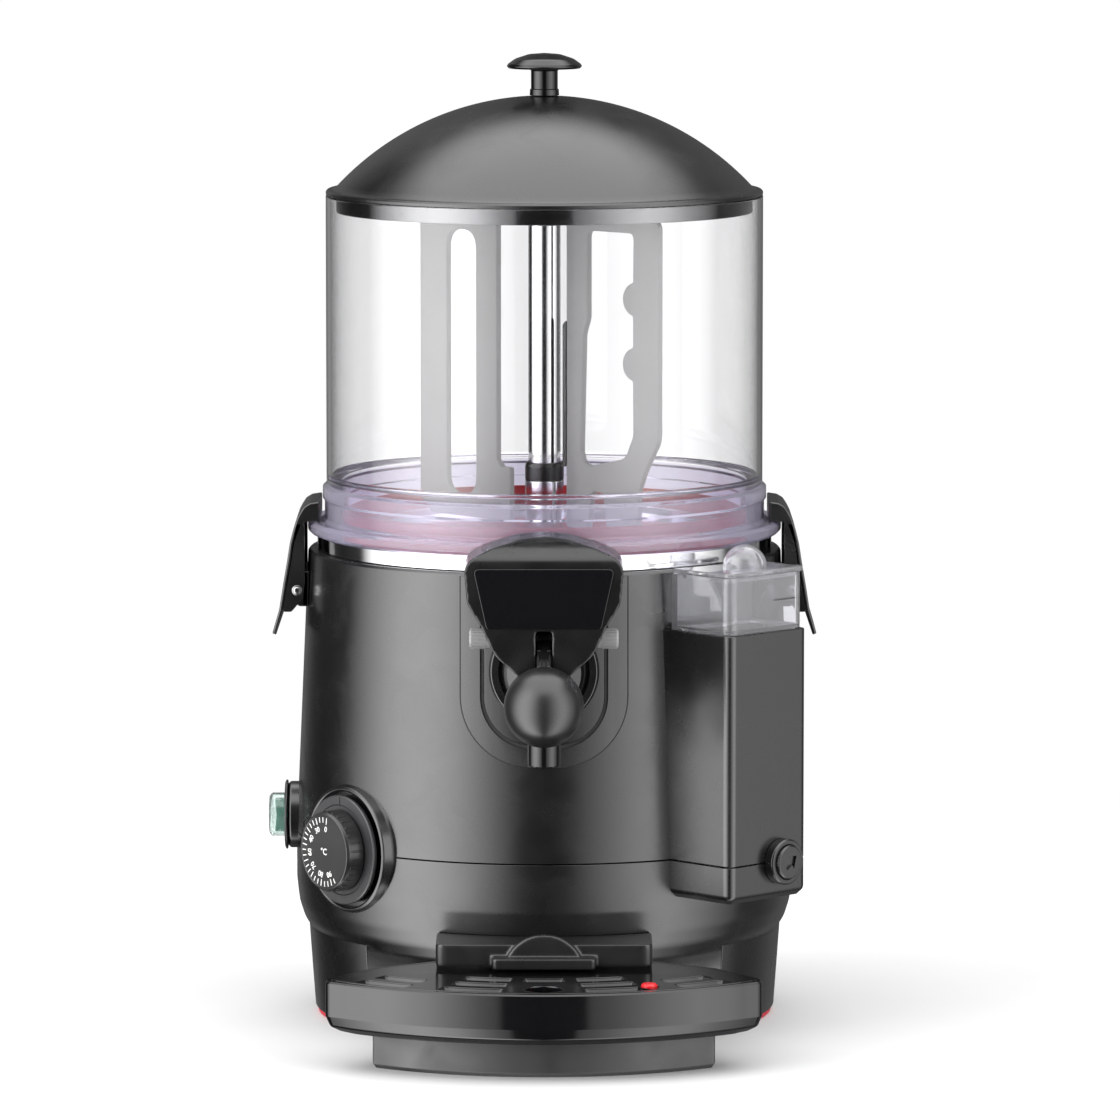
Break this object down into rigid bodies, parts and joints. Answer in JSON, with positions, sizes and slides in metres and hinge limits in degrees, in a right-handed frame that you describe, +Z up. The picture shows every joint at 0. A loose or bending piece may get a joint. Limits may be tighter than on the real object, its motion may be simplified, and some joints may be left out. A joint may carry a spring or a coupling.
{
  "type": "hot drink dispenser",
  "caption": "Countertop bain-marie dispenser: clear bowl with a stirrer on a heated base, front tap, latches, dial, switch, side water tank and drip tray.",
  "frame": {"origin": "centre of the whole object's bounding box, at the plane it stands on", "axes": "+Z up, the tap and drip tray face -Y, the side tank is at +X"},
  "size_m": [0.328, 0.426, 0.5755],
  "materials": {
    "black_plastic": "satin",
    "gloss_black": "polished",
    "clear_plastic": "clear, polished",
    "white_plastic": "satin",
    "grey_plastic": "satin",
    "green_plastic": "translucent",
    "red_rubber": "matte",
    "black_rubber": "matte",
    "steel": "polished",
    "brass": "machined"
  },
  "bodies": {
    "housing": {"lower_casing": "black_plastic", "upper_casing": "black_plastic", "cable_gland": "black_plastic", "column_bush": "black_plastic", "latch_bracket_right": "black_plastic", "latch_bracket_left": "black_plastic", "switch_plate": "black_plastic", "tap_surround": "black_plastic", "tap_mount_plate": "black_plastic", "tap_collar": "black_plastic", "tap_hood": "black_plastic", "drain_spigot": "black_plastic", "tray_bracket": "black_plastic", "tap_body": "gloss_black", "tap_badge": "gloss_black", "bowl": "clear_plastic", "switch_boot": "clear_plastic", "water_tank": "clear_plastic", "tap_pin": "white_plastic", "gear_box": "grey_plastic", "gear_motor": "grey_plastic", "thermostat_body": "grey_plastic", "thermostat_bezel": "grey_plastic", "foot_pad_1": "red_rubber", "foot_pad_2": "red_rubber", "foot_pad_3": "red_rubber", "foot_pad_4": "red_rubber", "bowl_seal": "red_rubber", "fill_pipe": "black_rubber", "bottom_cover": "steel", "boiler_tank": "steel", "heated_pot": "steel", "outlet_pipe": "steel", "column_tube": "steel", "heating_element": "steel", "latch_pin_right": "steel", "latch_pin_left": "steel", "motor_bracket": "steel", "thermostat_bulb": "brass"},
    "lid": {"lid": "black_plastic", "lid_skirt": "steel", "lid_knob": "gloss_black"},
    "stirring": {"stirrer": "white_plastic", "drive_shaft": "steel", "drive_coupling": "brass"},
    "tap_handle": {"tap_lever": "gloss_black", "tap_ball": "black_plastic"},
    "tap_valve": {"tap_plunger": "steel", "tap_seal": "red_rubber", "tap_spring": "steel"},
    "right_latch": {"latch_right": "black_plastic"},
    "left_latch": {"latch_left": "black_plastic"},
    "thermostat_dial": {"thermostat_knob": "black_plastic"},
    "rocker": {"switch_rocker": "green_plastic"},
    "tank_cover": {"water_tank_lid": "clear_plastic"},
    "drain_plug": {"drain_cap": "black_plastic"},
    "tray": {"drip_tray": "gloss_black"},
    "grille": {"drip_grille": "gloss_black"},
    "float": {"tray_float": "red_rubber"}
  },
  "joints": [
    {"name": "lid_lift", "type": "slide", "parent": "housing", "child": "lid", "axis": [0, 0, 1], "range_m": [0, 0.12]},
    {"name": "stirrer_spin", "type": "hinge", "parent": "housing", "child": "stirring", "pos_m": [0.00155, 0.05, 0.3055], "axis": [0, 0, 1], "continuous": true},
    {"name": "tap_pull", "type": "hinge", "parent": "housing", "child": "tap_handle", "pos_m": [0.00155, -0.122, 0.2455], "axis": [-1, 0, 0], "range_deg": [0, 22], "stiffness_Nm_per_rad": 0.8, "springref_deg": -14.32},
    {"name": "tap_open", "type": "slide", "parent": "housing", "child": "tap_valve", "axis": [0, -1, 0], "range_m": [0, 0.008], "deforming": ["tap_spring"]},
    {"name": "right_latch_swing", "type": "hinge", "parent": "housing", "child": "right_latch", "pos_m": [0.14915, 0.05, 0.2565], "axis": [0, 1, 0], "range_deg": [0, 26]},
    {"name": "left_latch_swing", "type": "hinge", "parent": "housing", "child": "left_latch", "pos_m": [-0.14605, 0.05, 0.2565], "axis": [0, -1, 0], "range_deg": [0, 26]},
    {"name": "thermostat_turn", "type": "hinge", "parent": "housing", "child": "thermostat_dial", "pos_m": [-0.12279, -0.05069, 0.1105], "axis": [0.7771, 0.6293, 0], "range_deg": [0, 270]},
    {"name": "switch_rock", "type": "hinge", "parent": "housing", "child": "rocker", "pos_m": [-0.15345, 0.05, 0.1175], "axis": [0, 1, 0], "range_deg": [-8, 8]},
    {"name": "tank_cover_lift", "type": "slide", "parent": "housing", "child": "tank_cover", "axis": [0, 0, 1], "range_m": [0, 0.06]},
    {"name": "drain_plug_turn", "type": "hinge", "parent": "housing", "child": "drain_plug", "pos_m": [0.14198, -0.08534, 0.1095], "axis": [0.7071, -0.7071, 0], "range_deg": [0, 90]},
    {"name": "tray_pull", "type": "slide", "parent": "housing", "child": "tray", "axis": [0, -1, 0], "range_m": [0, 0.12]},
    {"name": "grille_lift", "type": "slide", "parent": "tray", "child": "grille", "axis": [0, 0, 1], "range_m": [0, 0.06]},
    {"name": "float_rise", "type": "slide", "parent": "tray", "child": "float", "axis": [0, 0, 1], "range_m": [0, 0.008]}
  ],
  "couplings": [
    {"joint": "tap_open", "follows": "tap_pull", "m_per_rad": 0.02}
  ]
}
